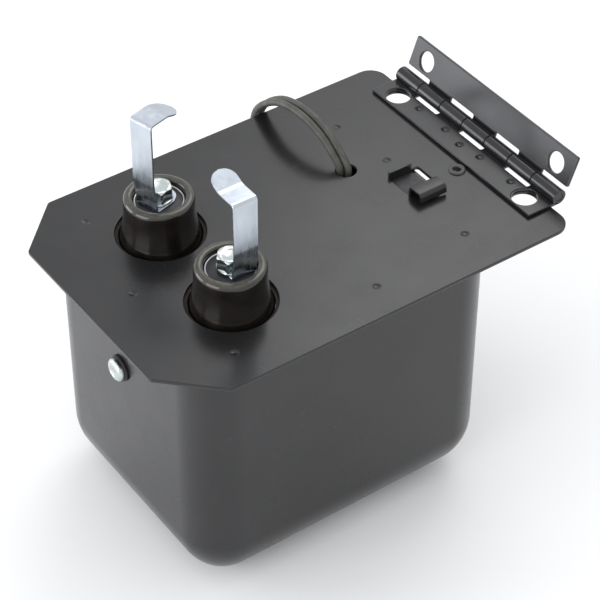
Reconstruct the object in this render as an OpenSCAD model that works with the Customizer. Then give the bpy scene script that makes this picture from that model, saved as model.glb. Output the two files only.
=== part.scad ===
// Oil burner ignition transformer on a hinged base plate. Millimetres, +Z up.
// The can's flat bottom stands on z = 0, and +X points from the cut corners to the hinge.

/* [Can] */
// Length of the can along X
can_l = 136.5; // [130:0.5:145]
// Width of the can along Y
can_w = 110.5; // [104:0.5:114]
// Height of the can below the plate
can_h = 118.5; // [110:0.5:126]
// Radius of the can's upright corners
can_r = 18.5; // [14:0.5:22]
// Radius of the drawn bottom edge
can_fillet = 26; // [18:0.5:27]
// Thickness of the drawn steel
can_t = 1.3; // [1:0.1:1.6]

/* [Plate] */
// Length of the base plate
plate_l = 178; // [174:0.5:184]
// Width of the base plate
plate_w = 127; // [120:0.5:134]
// Thickness of the base plate
plate_t = 1.5; // [1.2:0.1:2]
// Length of the plate in front of the can
plate_lead = 13.5; // [10:0.5:16]
// Size of the two cut front corners
chamfer = 21; // [15:0.5:24]
// Radius of the two rear corners
rear_r = 7.5; // [6:0.5:14]

/* [Terminals] */
// Distance from the can's middle to the terminals along X, negative to the front
term_x = -34.5; // [-38:0.5:-30]
// Half the distance between the two terminals
term_y = 24; // [23:0.5:26]
// Height of the porcelain rim above the plate
rim_h = 17.6; // [16:0.2:20]
// Height of the left contact above the plate
left_h = 55.6; // [48:0.2:58]
// Height of the right contact above the plate
right_h = 50; // [46:0.2:58]
// Turn of the left contact about its screw, in degrees
left_turn = -75; // [-80:1:-60]
// Sideways shift of the right contact in its slotted foot
right_shift = 1.8; // [0:0.1:1.8]

/* [Hinge] */
// Length of the hinge along Y
hinge_l = 100; // [96:0.5:104]
// Radius of the hinge knuckles
knuckle_r = 3.2; // [3:0.1:3.4]
// Angle of the free leaf, 0 folded shut, 180 laid out flat
leaf_open = 110.5; // [30:0.5:180]

/* [Leads] */
// Diameter of each primary lead
lead_d = 3; // [2.6:0.1:3]

/* [Hidden] */
$fn = 64;

eps = 0.01;
top = can_h + plate_t;            // upper side of the plate
plate_x0 = -can_l / 2 - plate_lead;
plate_x1 = plate_x0 + plate_l;

// terminals
bush_hole_r = 17.6;
stud_bore_r = 3.6;
cup_z = top + 14.2;
foot_z = top + 15.05;             // underside of the clamped contact foot
strip_t = 0.8;
foot_mid = foot_z + strip_t / 2;
strip_w = 10.4;
leg_d = 6.4;                      // from the screw to the middle of the foot's upturned end
leg_r = 1;
flex_z = 2;                       // height over the foot's middle where foot and blade meet
flex_gap = 0.2;
blade_d = 7.9;                    // from the screw to the outer face of the blade
screw_z = foot_z + strip_t + 0.02;
shank_r = 2.4;                    // the foot is slotted sideways round it
slot_x = 2;
stud_l = 53;
nut_z = top - 35.1;

// hinge
hinge_y = -0.6;
pin_r = 1.66;
bore_r = 1.72;
leaf_t = 1.5;
segs = 7;
seg_l = hinge_l / segs;
knuckle_gap = 0.35;
pin_x = plate_x1 + 3.4;
pin_z = top + knuckle_r + 0.05;
notch = 4.4;                      // from the pin to the leaf's body, at a window
fixed_w = 15.2;                   // from the pin to the fixed leaf's front edge
free_w = 17.4;
fixed_hole_s = 9.2;
free_hole_s = 10.1;
fixed_hole_y = 40.2;
free_hole_y = 40.6;
fixed_hole_r = 5.2;
free_hole_r = 4.3;

// plate details
lead_x = 45.1;
lead_y = 13.6;
lead_hole_r = 4.2;
win_x0 = 55.7;
win_x1 = 69.6;
win_y0 = -12.5;
win_y1 = -0.6;
eyelet_x = 80.8;
eyelet_y = -11.3;
dimples = [[-55, 45], [-62, -0.5], [-49.5, -48.4], [13.5, -48.8], [59, -43.8], [62, 9.4], [58.5, 38]];

// can screw
cs_y = 1.5;
cs_z = 84.5;

// core and coils
core_z = 30;
core_h = 30;
core_x = 52;
core_y = 35;
leg = 12;
mid = 8;
coil_mid = core_z + core_h / 2;

module rect_r(l, w, r) {
    square([l - 2 * r, w], center = true);
    square([l, w - 2 * r], center = true);
    for (x = [-1, 1], y = [-1, 1]) translate([x * (l / 2 - r), y * (w / 2 - r)]) circle(r);
}

// outline of the can at one height: four corner arcs, walked anticlockwise
arc_n = 8;
function ring(l, w, r, z) = [
    for (c = [[1, 1, 0], [-1, 1, 90], [-1, -1, 180], [1, -1, 270]]) for (k = [0 : arc_n])
        let (a = c[2] + 90 * k / arc_n)
        [c[0] * (l / 2 - r) + r * cos(a), c[1] * (w / 2 - r) + r * sin(a), z]
];

// rounded box whose bottom edge is drawn over a larger radius than its corners
module can_form(l, w, h, r, fillet, n = 9) {
    levels = concat(
        [for (k = [0 : n]) let (a = 90 * k / n, inset = fillet * (1 - sin(a)))
            ring(l - 2 * inset, w - 2 * inset, max(r - 0.9 * inset, 1), fillet * (1 - cos(a)))],
        [ring(l, w, r, h)]);
    m = len(levels[0]);
    last = len(levels) - 1;
    faces = concat(
        [[for (k = [0 : m - 1]) k]],
        [for (i = [0 : last - 1]) for (k = [0 : m - 1]) let (k1 = (k + 1) % m)
            [i * m + k, (i + 1) * m + k, (i + 1) * m + k1, i * m + k1]],
        [[for (k = [m - 1 : -1 : 0]) last * m + k]]);
    polyhedron([for (g = levels) each g], faces, convexity = 4);
}

module can() {
    color([0.10, 0.10, 0.11]) difference() {
        can_form(can_l, can_w, can_h, can_r, can_fillet);
        translate([0, 0, can_t])
            can_form(can_l - 2 * can_t, can_w - 2 * can_t, can_h, can_r - can_t, can_fillet - can_t);
        translate([-can_l / 2, cs_y, cs_z]) rotate([0, 90, 0]) cylinder(r = 2.6, h = 8, center = true);
    }
}

// angle ring inside the mouth of the can, the plate is welded down on it
module can_rim() {
    l = can_l - 2 * can_t - 0.2;
    w = can_w - 2 * can_t - 0.2;
    color([0.2, 0.2, 0.2]) difference() {
        translate([0, 0, can_h - 10]) linear_extrude(10) rect_r(l, w, can_r - can_t);
        translate([0, 0, can_h - 11]) linear_extrude(9.5) rect_r(l - 3, w - 3, can_r - can_t - 1.5);
        translate([0, 0, can_h - 2]) linear_extrude(3) rect_r(l - 22, w - 13, 8);
    }
}

module plate_outline() {
    y = plate_w / 2;
    polygon([
        [plate_x0, -y + chamfer], [plate_x0 + chamfer, -y], [plate_x1 - rear_r, -y],
        [plate_x1 - rear_r, y], [plate_x0 + chamfer, y], [plate_x0, y - chamfer]
    ]);
    translate([plate_x1 - rear_r - eps, -y + rear_r]) square([rear_r + eps, plate_w - 2 * rear_r]);
    for (s = [-1, 1]) translate([plate_x1 - rear_r, s * (y - rear_r)]) circle(rear_r);
}

// the tab bent up out of the plate's window and rolled over to hold a wire
module wire_tab() {
    y = win_y0;
    t = 1.2;
    translate([win_x0, 0, top]) rotate([90, 0, 90]) linear_extrude(win_x1 - win_x0 - 1.4)
        polygon([
            [y + 0.1, -plate_t], [y + 0.1, 0.4], [y - 1, 3.6], [y - 2, 4.7], [y - 6.6, 4.7], [y - 7.8, 4],
            [y - 8.4, 0.9], [y - 7.2, 0.7], [y - 6.7, 3.2], [y - 6.2, 4.7 - t], [y - 2.6, 4.7 - t],
            [y - 2.1, 3], [y - 1.3, -0.01], [y - 1.3, -plate_t]
        ]);
}

module base_plate() {
    color([0.13, 0.13, 0.14]) {
        difference() {
            translate([0, 0, can_h]) linear_extrude(plate_t) plate_outline();
            for (s = [-1, 1]) {
                translate([term_x, s * term_y, can_h - 1]) cylinder(r = bush_hole_r, h = 4);
                translate([pin_x - fixed_hole_s, hinge_y + s * fixed_hole_y, can_h - 1])
                    cylinder(r = fixed_hole_r, h = 4);
            }
            translate([lead_x, lead_y, can_h - 1]) cylinder(r = lead_hole_r, h = 4);
            translate([eyelet_x, eyelet_y, can_h - 1]) cylinder(r = 2.6, h = 4);
            translate([win_x0, win_y0, can_h - 1]) cube([win_x1 - win_x0, win_y1 - win_y0, 4]);
            for (p = dimples) translate([p[0], p[1], top - 0.3]) cylinder(r = 1.6, h = 1);
        }
        wire_tab();
        translate([win_x0, win_y1, top - 0.5]) cube([win_x1 - win_x0 - 3, 1.2, 3.2]);
    }
}

module plate_eyelet() {
    color([0.45, 0.45, 0.38]) translate([eyelet_x, eyelet_y, top]) rotate_extrude()
        polygon([[1.5, -2.6], [3.6, -2.6], [3.6, -plate_t - 0.02], [2.55, -plate_t - 0.02], [2.55, 0.02],
                 [3.4, 0.02], [3.3, 0.6], [2.6, 1], [1.8, 0.7], [1.5, 0.2]]);
}

// a leaf in its own frame: the pin is the Y axis, the leaf runs to -X with its outer face at +Z
module leaf(width, hole_s, hole_y, hole_r, own) {
    difference() {
        union() {
            translate([-width, -hinge_l / 2, knuckle_r - leaf_t]) cube([width - notch, hinge_l, leaf_t]);
            for (i = [0 : segs - 1]) if (i % 2 == own) {
                y0 = -hinge_l / 2 + i * seg_l + (i == 0 ? 0 : knuckle_gap / 2);
                y1 = -hinge_l / 2 + (i + 1) * seg_l - (i == segs - 1 ? 0 : knuckle_gap / 2);
                translate([-notch - 1.5, y0, knuckle_r - leaf_t]) cube([notch + 1.5, y1 - y0, leaf_t]);
                translate([0, y1, 0]) rotate([90, 0, 0]) cylinder(r = knuckle_r, h = y1 - y0);
            }
        }
        rotate([90, 0, 0]) cylinder(r = bore_r, h = hinge_l + 4, center = true);
        for (s = [-1, 1]) translate([-hole_s, s * hole_y, 0]) cylinder(r = hole_r, h = 8);
    }
}

module hinge_fixed_leaf() {
    color([0.12, 0.12, 0.13]) difference() {
        translate([pin_x, hinge_y, pin_z]) rotate([180, 0, 0])
            leaf(fixed_w, fixed_hole_s, fixed_hole_y, fixed_hole_r, 0);
        for (y = [-30, -11, 28, 11]) translate([pin_x - 7.6, y, top + leaf_t - 0.2]) cylinder(r = 1.7, h = 1);
        translate([pin_x - 9.2, 0, top + leaf_t - 0.6]) cylinder(r = 2, h = 2);
    }
}

module hinge_free_leaf() {
    color([0.15, 0.15, 0.17]) translate([pin_x, hinge_y, pin_z]) rotate([0, leaf_open, 0])
        leaf(free_w, free_hole_s, free_hole_y, free_hole_r, 1);
}

module hinge_pin() {
    color([0.3, 0.3, 0.3]) translate([pin_x, hinge_y, pin_z]) rotate([90, 0, 0])
        cylinder(r = pin_r, h = hinge_l - 0.6, center = true);
}

// porcelain body: skirt and clamping flange below the plate, bell above it, recess in its top
module bushing() {
    r = rim_h;
    translate([term_x, 0, top]) rotate_extrude()
        polygon([
            [stud_bore_r, -30], [9.5, -30], [11, -28.5], [11.6, -9.5], [19.2, -9.5], [20, -8.7], [20, -4.2],
            [19.2, -3.2], [16.1, -3.2], [15.9, -1.5], [15.2, 0], [14.9, 2], [14.5, 4], [14.1, 6.5], [13.8, 9.5], [13.7, 13],
            [13.6, r - 1.6], [13.3, r - 0.7], [12.6, r - 0.15], [12, r], [10.9, r], [10.3, r - 0.4],
            [10, r - 1.2], [10, 14.1], [stud_bore_r, 14.1]
        ]);
}
module bushing_left() { color([0.16, 0.13, 0.12]) translate([0, term_y, 0]) bushing(); }
module bushing_right() { color([0.16, 0.13, 0.12]) translate([0, -term_y, 0]) bushing(); }

module at_terms() {
    for (s = [-1, 1]) translate([term_x, s * term_y, 0]) children();
}

module bushing_gaskets() {
    color([0.25, 0.18, 0.12]) at_terms() translate([0, 0, can_h - 1.65]) difference() {
        cylinder(r = 19.4, h = 1.6);
        translate([0, 0, -1]) cylinder(r = 16.4, h = 4);
    }
}

// pressed ring that holds both bushing flanges up against the plate
module bushing_clamps() {
    color([0.4, 0.4, 0.42]) at_terms() translate([0, 0, can_h - 10]) difference() {
        cylinder(r = 22, h = 8.2);
        translate([0, 0, 1.3]) cylinder(r = 20.2, h = 9);
        translate([0, 0, -1]) cylinder(r = 12, h = 4);
    }
}

module terminal_cups() {
    color([0.55, 0.55, 0.55]) at_terms() translate([0, 0, cup_z]) difference() {
        cylinder(r = 9.8, h = 0.8);
        translate([0, 0, -1]) cylinder(r = 2.6, h = 4);
    }
}

module hex_screw(s) {
    color([0.8, 0.83, 0.85]) translate([term_x, s * term_y, screw_z]) {
        difference() {
            union() {
                cylinder(r = 5.4, h = 1.2);
                rotate([0, 0, s * 12]) cylinder(r = 9.4 / sqrt(3), h = 6.2, $fn = 6);
            }
            translate([0, 0, 5.7]) cylinder(r = 2.6, h = 1);
        }
        translate([0, 0, -stud_l]) cylinder(r = shank_r, h = stud_l + 0.1);
    }
}
module terminal_screw_left() { hex_screw(1); }
module terminal_screw_right() { hex_screw(-1); }

module terminal_inserts() {
    color([0.72, 0.6, 0.3]) at_terms() translate([0, 0, top - 32]) difference() {
        union() {
            cylinder(r = 3.5, h = 36);
            cylinder(r = 8, h = 1.9);
        }
        translate([0, 0, -1]) cylinder(r = shank_r + 0.05, h = 60);
    }
}

module terminal_nuts() {
    color([0.6, 0.6, 0.6]) at_terms() translate([0, 0, nut_z]) difference() {
        cylinder(r = 9.5 / sqrt(3), h = 3, $fn = 6);
        translate([0, 0, -1]) cylinder(r = shank_r + 0.05, h = 6);
    }
}

// side view of the contact strip: d runs away from the screw, z up from the foot's middle
function bend(c, r, a0, a1, n) =
    [for (k = [0 : n]) let (a = a0 + (a1 - a0) * k / n) c + r * [cos(a), sin(a)]];

// outline of a sheet of thickness t whose middle line runs through the given points
function sheet_outline(mids, t) =
    let (n = len(mids))
    let (dirs = [for (i = [0 : n - 1]) let (v = mids[min(i + 1, n - 1)] - mids[max(i - 1, 0)]) v / norm(v)])
    let (turned = [for (v = dirs) [-v[1], v[0]]])
    concat([for (i = [0 : n - 1]) mids[i] + t / 2 * turned[i]],
           [for (i = [n - 1 : -1 : 0]) mids[i] - t / 2 * turned[i]]);

module strip(mids) {
    rotate([90, 0, 90]) translate([0, 0, -strip_w / 2]) linear_extrude(strip_w)
        polygon(sheet_outline(mids, strip_t));
}

// foot clamped under the screw, slotted sideways, round at its free end and bent up at the other
module foot() {
    difference() {
        union() {
            strip(concat([[-2, 0]], bend([leg_d - leg_r, leg_r], leg_r, -90, 0, 6),
                         [[leg_d, flex_z - flex_gap / 2]]));
            translate([0, -2 + 0.001, -strip_t / 2]) intersection() {
                cylinder(r = strip_w / 2, h = strip_t);
                translate([-10, -20, 0]) cube([20, 20, 2]);
            }
        }
        for (s = [-1, 1]) translate([s * slot_x, 0, -2]) cylinder(r = shank_r + 0.1, h = 4);
        translate([-slot_x, -shank_r - 0.1, -2]) cube([2 * slot_x, 2 * shank_r + 0.2, 4]);
    }
}

// blade and arm; h is the arm's height above the foot, tip the rise of its last part in degrees
module blade(h, arm, tip, tip_l) {
    t = strip_t;
    m = blade_d - t / 2;          // middle line of the upright
    rb = 2.2;                     // bend radius of the middle line
    strip(concat([[leg_d, flex_z + flex_gap / 2], [leg_d, flex_z + 1], [leg_d + 0.1, flex_z + 1.9],
                  [m - 0.1, 11.4], [m, 12.6]],
                 bend([m - rb, h - rb], rb, 0, 90, 6), [[m - arm, h]]));
    translate([0, m - arm, h]) rotate([-tip, 0, 0]) translate([0, 0, -t / 2]) {
        translate([-strip_w / 2, -(tip_l - strip_w / 2), 0]) cube([strip_w, tip_l - strip_w / 2 + 0.02, t]);
        translate([0, -(tip_l - strip_w / 2), 0]) cylinder(r = strip_w / 2, h = t);
    }
}

// a contact is drawn with its blade at +Y of the screw, so it is turned half round first
module at_contact(s, turn, shift) {
    translate([term_x, s * term_y, foot_mid]) rotate([0, 0, turn]) translate([shift, 0, 0]) rotate([0, 0, 180])
        children();
}
module contact_foot_left() { color([0.75, 0.78, 0.82]) at_contact(1, left_turn, 0) foot(); }
module contact_foot_right() { color([0.75, 0.78, 0.82]) at_contact(-1, 0, right_shift) foot(); }
module contact_blade_left() {
    color([0.8, 0.84, 0.88]) at_contact(1, left_turn, 0) blade(top + left_h - foot_mid, 9, -20, 8.2);
}
module contact_blade_right() {
    color([0.8, 0.84, 0.88]) at_contact(-1, 0, right_shift) blade(top + right_h - foot_mid, 9, 24, 8.6);
}

module can_screw() {
    color([0.8, 0.83, 0.85]) translate([-can_l / 2, cs_y, cs_z]) rotate([0, -90, 0]) {
        translate([0, 0, 1.3]) rotate_extrude()
            polygon([[0, 0], [4.8, 0], [4.8, 0.9], [4.4, 1.7], [3.4, 2.3], [0, 2.5]]);
        translate([0, 0, -12]) cylinder(r = 2.1, h = 13.4);
    }
}

module can_screw_washer() {
    color([0.1, 0.1, 0.1]) translate([-can_l / 2, cs_y, cs_z]) rotate([0, -90, 0]) difference() {
        translate([0, 0, 0.05]) cylinder(r = 5.4, h = 1.2);
        translate([0, 0, -1]) cylinder(r = 2.4, h = 4);
    }
}

module can_screw_nut() {
    color([0.6, 0.6, 0.6]) translate([-can_l / 2 + can_t + 1.6, cs_y, cs_z]) rotate([0, 90, 0]) difference() {
        cylinder(r = 8 / sqrt(3), h = 3.2, $fn = 6);
        translate([0, 0, -1]) cylinder(r = 2.15, h = 6);
    }
}

// grounds the core to the can through the can screw
module ground_strap() {
    x = -can_l / 2 + can_t + 0.2;
    color([0.7, 0.45, 0.25]) difference() {
        union() {
            translate([x, cs_y - 5, core_z + core_h / 2]) cube([1, 10, cs_z - core_z - core_h / 2 + 5]);
            translate([x, cs_y - 5, core_z + core_h / 2]) cube([-core_x - x - 0.1, 10, 1]);
        }
        translate([x - 1, cs_y, cs_z]) rotate([0, 90, 0]) cylinder(r = 2.3, h = 4);
    }
}

module core_holes() {
    for (x = [-1, 1], y = [-1, 1])
        translate([x * (core_x - 6), y * (core_y - 6), core_z - 1]) cylinder(r = 2.6, h = core_h + 2);
}

module core_legs() {
    color([0.35, 0.35, 0.36]) difference() {
        translate([0, 0, core_z]) linear_extrude(core_h) {
            translate([-core_x, -core_y]) square([2 * core_x, leg]);
            for (x = [-core_x, core_x - leg]) translate([x, -core_y]) square([leg, 2 * core_y - leg - 0.1]);
            translate([-mid, -core_y]) square([2 * mid, 2 * core_y - leg - 0.1]);
        }
        core_holes();
    }
}

module core_yoke() {
    color([0.4, 0.4, 0.41]) difference() {
        translate([-core_x, core_y - leg, core_z]) cube([2 * core_x, leg, core_h]);
        core_holes();
    }
}

module magnetic_shunts() {
    color([0.3, 0.3, 0.32]) for (s = [-1, 1], y = [-1, 1])
        translate([s > 0 ? mid + 0.4 : -core_x + leg + 0.2, y * 7.5 - 1, core_z + 1])
            cube([core_x - leg - mid - 0.6, 2, core_h - 2]);
}

module core_bolts() {
    color([0.7, 0.7, 0.7]) for (x = [-1, 1], y = [-1, 1])
        translate([x * (core_x - 6), y * (core_y - 6), 0]) {
            translate([0, 0, core_z - 8]) cylinder(r = 2.5, h = core_h + 16);
            translate([0, 0, core_z + core_h + 2.2]) cylinder(r = 4.6, h = 3.4, $fn = 6);
        }
}

module core_nuts() {
    color([0.6, 0.6, 0.6]) for (x = [-1, 1], y = [-1, 1])
        translate([x * (core_x - 6), y * (core_y - 6), core_z - 7]) difference() {
            cylinder(r = 4.6, h = 3.4, $fn = 6);
            translate([0, 0, -1]) cylinder(r = 2.55, h = 6);
        }
}

// two bent feet that carry the core on the lower board
module core_feet() {
    color([0.3, 0.3, 0.3]) for (x = [-1, 1]) difference() {
        union() {
            translate([x * (core_x - 6) - 6, -core_y, core_z - 3]) cube([12, 2 * core_y, 2.9]);
            for (y = [-20, 18.5]) translate([x * (core_x - 6) - 6, y, 6.6]) cube([12, 1.5, core_z - 9]);
            translate([x * (core_x - 6) - 6, -20, 6.6]) cube([12, 40, 1.5]);
        }
        for (y = [-1, 1]) translate([x * (core_x - 6), y * (core_y - 6), core_z - 5]) cylinder(r = 2.6, h = 8);
    }
}

// a coil round the centre leg, from y0 to y1
module coil(y0, y1, w, gap) {
    translate([0, 0, coil_mid]) rotate([-90, 0, 0]) translate([0, 0, y0]) linear_extrude(y1 - y0)
        difference() {
            rect_r(2 * w, core_h + 2 * (w - mid) * 0.9, 5);
            square([2 * (mid + gap), core_h + 2 * gap], center = true);
        }
}
module bobbin(y0, y1, w) {
    translate([0, 0, coil_mid]) rotate([-90, 0, 0]) translate([0, 0, y0]) difference() {
        union() {
            linear_extrude(y1 - y0) square([2 * (mid + 1.2), core_h + 2.4], center = true);
            for (z = [0, y1 - y0 - 1]) translate([0, 0, z]) linear_extrude(1)
                square([2 * w, core_h + 2 * (w - mid) * 0.9], center = true);
        }
        translate([0, 0, -1]) linear_extrude(y1 - y0 + 2) square([2 * (mid + 0.3), core_h + 0.6], center = true);
    }
}
module primary_coil() { color([0.75, 0.4, 0.2]) coil(-4.9, 4.9, 28, 1.4); }
module primary_bobbin() { color([0.85, 0.8, 0.6]) bobbin(-6, 6, 30); }
module secondary_coils() {
    color([0.6, 0.3, 0.15]) for (s = [-1, 1]) coil(s > 0 ? 10.1 : -20.9, s > 0 ? 20.9 : -10.1, 29, 1.4);
}
module secondary_bobbins() {
    color([0.85, 0.8, 0.6]) for (s = [-1, 1]) bobbin(s > 0 ? 9 : -22, s > 0 ? 22 : -9, 30);
}

module insulation_boards() {
    color([0.8, 0.75, 0.6]) {
        translate([0, 0, core_z + core_h + 20]) linear_extrude(1.5) square([92, 76], center = true);
        translate([0, 0, 5]) linear_extrude(1.5) square([104, 72], center = true);
    }
}

// the wire from each secondary coil round the upper board to its terminal nut
module high_voltage_wires() {
    r = 1.2;
    x = -core_x + 4;
    z0 = coil_mid + 25;
    z1 = nut_z + 1.5;
    color([0.7, 0.1, 0.1]) for (s = [-1, 1]) {
        translate([x, s * 15.5, z0]) {
            rotate([0, 90, 0]) cylinder(r = r, h = -29.1 - x);
            sphere(r);
            cylinder(r = r, h = z1 - z0);
        }
        translate([x, s * 15.5, z1]) {
            sphere(r);
            rotate([-90 * s, 0, 0]) cylinder(r = r, h = term_y - 15.5);
        }
        translate([x, s * term_y, z1]) {
            sphere(r);
            rotate([0, 90, 0]) cylinder(r = r, h = term_x - 5.8 - x);
        }
    }
}

module sealing_compound() {
    color([0.08, 0.07, 0.06]) translate([0, 0, can_t + 0.1]) linear_extrude(3.4) square([80, 54], center = true);
}

// clip under the plate that grips both leads
module lead_clamp() {
    color([0.3, 0.3, 0.3]) translate([lead_x - 1, lead_y + 0.3, can_h - 7]) difference() {
        union() {
            translate([-7, -5, 0]) cube([14, 10, 3]);
            translate([-7, -5, 0]) cube([1.2, 10, 6.9]);
        }
        translate([0.2, 0.1, -1]) rotate([0, 0, -35]) cube([6.6, 3.4, 10], center = true);
    }
}

// route of the pair of leads: middle line of the pair, and the sideways direction from one to the other
lead_off = 1.6;
lead_z = top;
lead_route = [
    [44.2, 14, lead_z - 9], [44.4, 14, lead_z - 2], [44.3, 14.7, lead_z + 2], [43.8, 20.6, lead_z + 7.4],
    [43.2, 27.2, lead_z + 11.4], [42.3, 36.2, lead_z + 14], [41.4, 45, lead_z + 14.2],
    [40.6, 52.4, lead_z + 12.2], [40, 59.4, lead_z + 7.6], [39.4, 64.6, lead_z + 2], [39, 66.6, lead_z - 4],
    [38.8, 67.4, lead_z - 14], [38.6, 67.6, 80], [38.6, 67.4, 52], [38.6, 67.8, 28], [38.6, 69.6, 14],
    [38.6, 74, 6], [38.4, 81, 2.4], [38, 90, 1.6], [37, 105, 1.6], [35, 122, 1.6], [34, 138, 1.6],
    [34, 150, 1.6]
];
function mix(a, b, t) = a * (1 - t) + b * t;
function spread(p) =
    let (v = mix([0.82, -0.57, 0], [1, 0.05, 0], min(max((p[1] - 14) / 22, 0), 1))) v / norm(v);
function lead_points(s) = [for (p = lead_route) p + s * lead_off * spread(p)];

// a smooth curve through the points, two steps to each
function knot(p, i) = p[min(max(i, 0), len(p) - 1)];
function curve_at(p, i, t) =
    0.5 * ((2 * knot(p, i)) + (knot(p, i + 1) - knot(p, i - 1)) * t
    + (2 * knot(p, i - 1) - 5 * knot(p, i) + 4 * knot(p, i + 1) - knot(p, i + 2)) * t * t
    + (3 * knot(p, i) - knot(p, i - 1) - 3 * knot(p, i + 1) + knot(p, i + 2)) * t * t * t);
function steps(p, i) = norm(knot(p, i + 1) - knot(p, i)) > 11 ? 2 : 1;
function smooth(p) = concat(
    [for (i = [0 : len(p) - 2]) for (k = [0 : steps(p, i) - 1]) curve_at(p, i, k / steps(p, i))],
    [p[len(p) - 1]]);

module tube(points, r, sides) {
    n = len(points);
    dirs = [for (i = [0 : n - 1])
        let (v = points[min(i + 1, n - 1)] - points[max(i - 1, 0)]) v / norm(v)];
    across = [for (d = dirs) let (v = [1, 0, 0] - d[0] * d) v / norm(v)];
    rings = [for (i = [0 : n - 1]) for (k = [0 : sides - 1])
        let (a = 360 * k / sides) points[i] + r * (cos(a) * across[i] + sin(a) * cross(dirs[i], across[i]))];
    faces = concat(
        [[for (k = [0 : sides - 1]) k]],
        [for (i = [0 : n - 2]) for (k = [0 : sides - 1]) let (k1 = (k + 1) % sides)
            [i * sides + k, (i + 1) * sides + k, (i + 1) * sides + k1, i * sides + k1]],
        [[for (k = [sides - 1 : -1 : 0]) (n - 1) * sides + k]]);
    polyhedron(rings, faces);
}

module lead_a() { color([0.15, 0.15, 0.14]) tube(smooth(lead_points(-1)), lead_d / 2, 8); }
module lead_b() { color([0.15, 0.15, 0.14]) tube(smooth(lead_points(1)), lead_d / 2, 8); }

module lead_end(s) {
    p = lead_points(s)[len(lead_route) - 1];
    color([0.8, 0.65, 0.5]) translate(p) rotate([-90, 0, 0]) cylinder(r = 0.8, h = 12);
}
module lead_end_a() { lead_end(-1); }
module lead_end_b() { lead_end(1); }

can();
can_rim();
base_plate();
plate_eyelet();
hinge_fixed_leaf();
hinge_free_leaf();
hinge_pin();
bushing_left();
bushing_right();
bushing_gaskets();
bushing_clamps();
terminal_cups();
terminal_screw_left();
terminal_screw_right();
terminal_inserts();
terminal_nuts();
contact_foot_left();
contact_blade_left();
contact_foot_right();
contact_blade_right();
can_screw();
can_screw_washer();
can_screw_nut();
ground_strap();
core_legs();
core_yoke();
magnetic_shunts();
core_bolts();
core_nuts();
core_feet();
primary_coil();
primary_bobbin();
secondary_coils();
secondary_bobbins();
insulation_boards();
high_voltage_wires();
sealing_compound();
lead_clamp();
lead_a();
lead_b();
lead_end_a();
lead_end_b();
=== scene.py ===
"""Looks of the oil burner ignition transformer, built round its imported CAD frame."""
import math
import bmesh
import bpy
from mathutils import Matrix, Vector
from mathutils.geometry import delaunay_2d_cdt


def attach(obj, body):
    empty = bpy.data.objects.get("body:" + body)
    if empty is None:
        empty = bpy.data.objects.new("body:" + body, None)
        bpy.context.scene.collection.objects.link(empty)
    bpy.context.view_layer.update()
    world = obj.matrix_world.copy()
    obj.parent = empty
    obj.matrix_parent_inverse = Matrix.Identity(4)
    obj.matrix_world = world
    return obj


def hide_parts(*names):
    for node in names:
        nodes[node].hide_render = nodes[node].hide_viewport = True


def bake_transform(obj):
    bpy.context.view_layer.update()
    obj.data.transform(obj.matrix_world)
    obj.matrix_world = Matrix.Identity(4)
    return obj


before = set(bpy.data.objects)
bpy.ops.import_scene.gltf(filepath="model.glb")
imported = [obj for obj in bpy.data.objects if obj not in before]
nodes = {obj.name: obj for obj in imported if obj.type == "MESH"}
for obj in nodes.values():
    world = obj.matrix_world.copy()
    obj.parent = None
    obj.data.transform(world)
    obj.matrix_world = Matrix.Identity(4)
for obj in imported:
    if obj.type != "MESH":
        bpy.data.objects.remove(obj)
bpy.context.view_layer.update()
MM = 0.001      # shapes are written in millimetres; the camera, floor and lights are in metres


def V(x, y, z):
    """A point given in millimetres, as the frame's metres."""
    return Vector((x, y, z)) * MM


# ---------------------------------------------------------------- camera
CAMERA_AT = (-0.36385, -0.5305, 0.6548)
CAMERA_RIGHT = Vector((0.8162, -0.5778, 0.0025))
CAMERA_UP = Vector((0.3816, 0.5424, 0.7485))
CAMERA_BACK = Vector((-0.4338, -0.6099, 0.6632))

cam_data = bpy.data.cameras.new("camera")
cam_data.lens = 132.14
cam_data.sensor_width = 36
cam_data.clip_end = 20
camera = bpy.data.objects.new("camera", cam_data)
bpy.context.scene.collection.objects.link(camera)
turn = Matrix((CAMERA_RIGHT, CAMERA_UP, CAMERA_BACK)).transposed().to_4x4()
camera.matrix_world = Matrix.Translation(CAMERA_AT) @ turn
bpy.context.scene.camera = camera


# ---------------------------------------------------------------- materials
NOISE_ROUGHNESS = 0.55
MIX_FACTOR, MIX_A, MIX_B, MIX_OUT = 0, 6, 7, 2      # a colour Mix node's sockets
DUST_GREY, RUB_GREY = (0.16, 0.16, 0.165), (0.12, 0.12, 0.125)
RIM_STARTS, RIM_FULL = 0.1357, 0.1375               # heights, in metres, where glaze turns olive


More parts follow.
